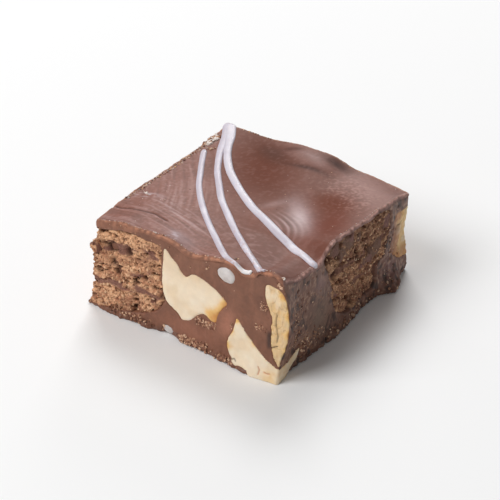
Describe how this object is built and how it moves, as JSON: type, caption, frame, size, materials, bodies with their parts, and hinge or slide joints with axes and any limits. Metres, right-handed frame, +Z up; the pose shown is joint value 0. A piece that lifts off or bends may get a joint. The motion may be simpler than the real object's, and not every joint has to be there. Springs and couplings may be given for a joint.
{
  "type": "rocky road square",
  "caption": "Hand-cut square of milk chocolate rocky road with layered wafer, nuts and marshmallow at its cut sides, under a poured topping with white icing lines.",
  "frame": {"origin": "middle of the flat base, where it rests", "axes": "+Z up, -Y out of the front side with the large nut, +X towards the right side, which meets the front at the near corner"},
  "size_m": [0.0548, 0.0559, 0.0264],
  "materials": {
    "chocolate": "milk chocolate, cut with a knife, satin",
    "topping": "poured milk chocolate with white icing lines, satin sheen",
    "wafer": "broken wafer crumb, rough and dry",
    "cream": "dark cocoa cream, dull",
    "nut": "cut nut, cream coloured, satin",
    "marshmallow": "white marshmallow, satin"
  },
  "bodies": {
    "root": {"chocolate_block": "chocolate", "topping": "topping", "wafer_left_1": "wafer", "wafer_left_2": "wafer", "wafer_left_3": "wafer", "wafer_left_4": "wafer", "wafer_right_1": "wafer", "wafer_right_2": "wafer", "wafer_right_3": "wafer", "wafer_back_1": "wafer", "wafer_back_2": "wafer", "wafer_back_3": "wafer", "cream_left_1": "cream", "cream_left_2": "cream", "cream_left_3": "cream", "cream_right_1": "cream", "cream_right_2": "cream", "cream_back_1": "cream", "cream_back_2": "cream", "nut_large": "nut", "nut_corner": "nut", "nut_upright": "nut", "nut_right": "nut", "nut_side": "nut", "nut_back": "nut", "marshmallow_front": "marshmallow", "marshmallow_base": "marshmallow", "marshmallow_side": "marshmallow", "marshmallow_back": "marshmallow"}
  },
  "joints": []
}
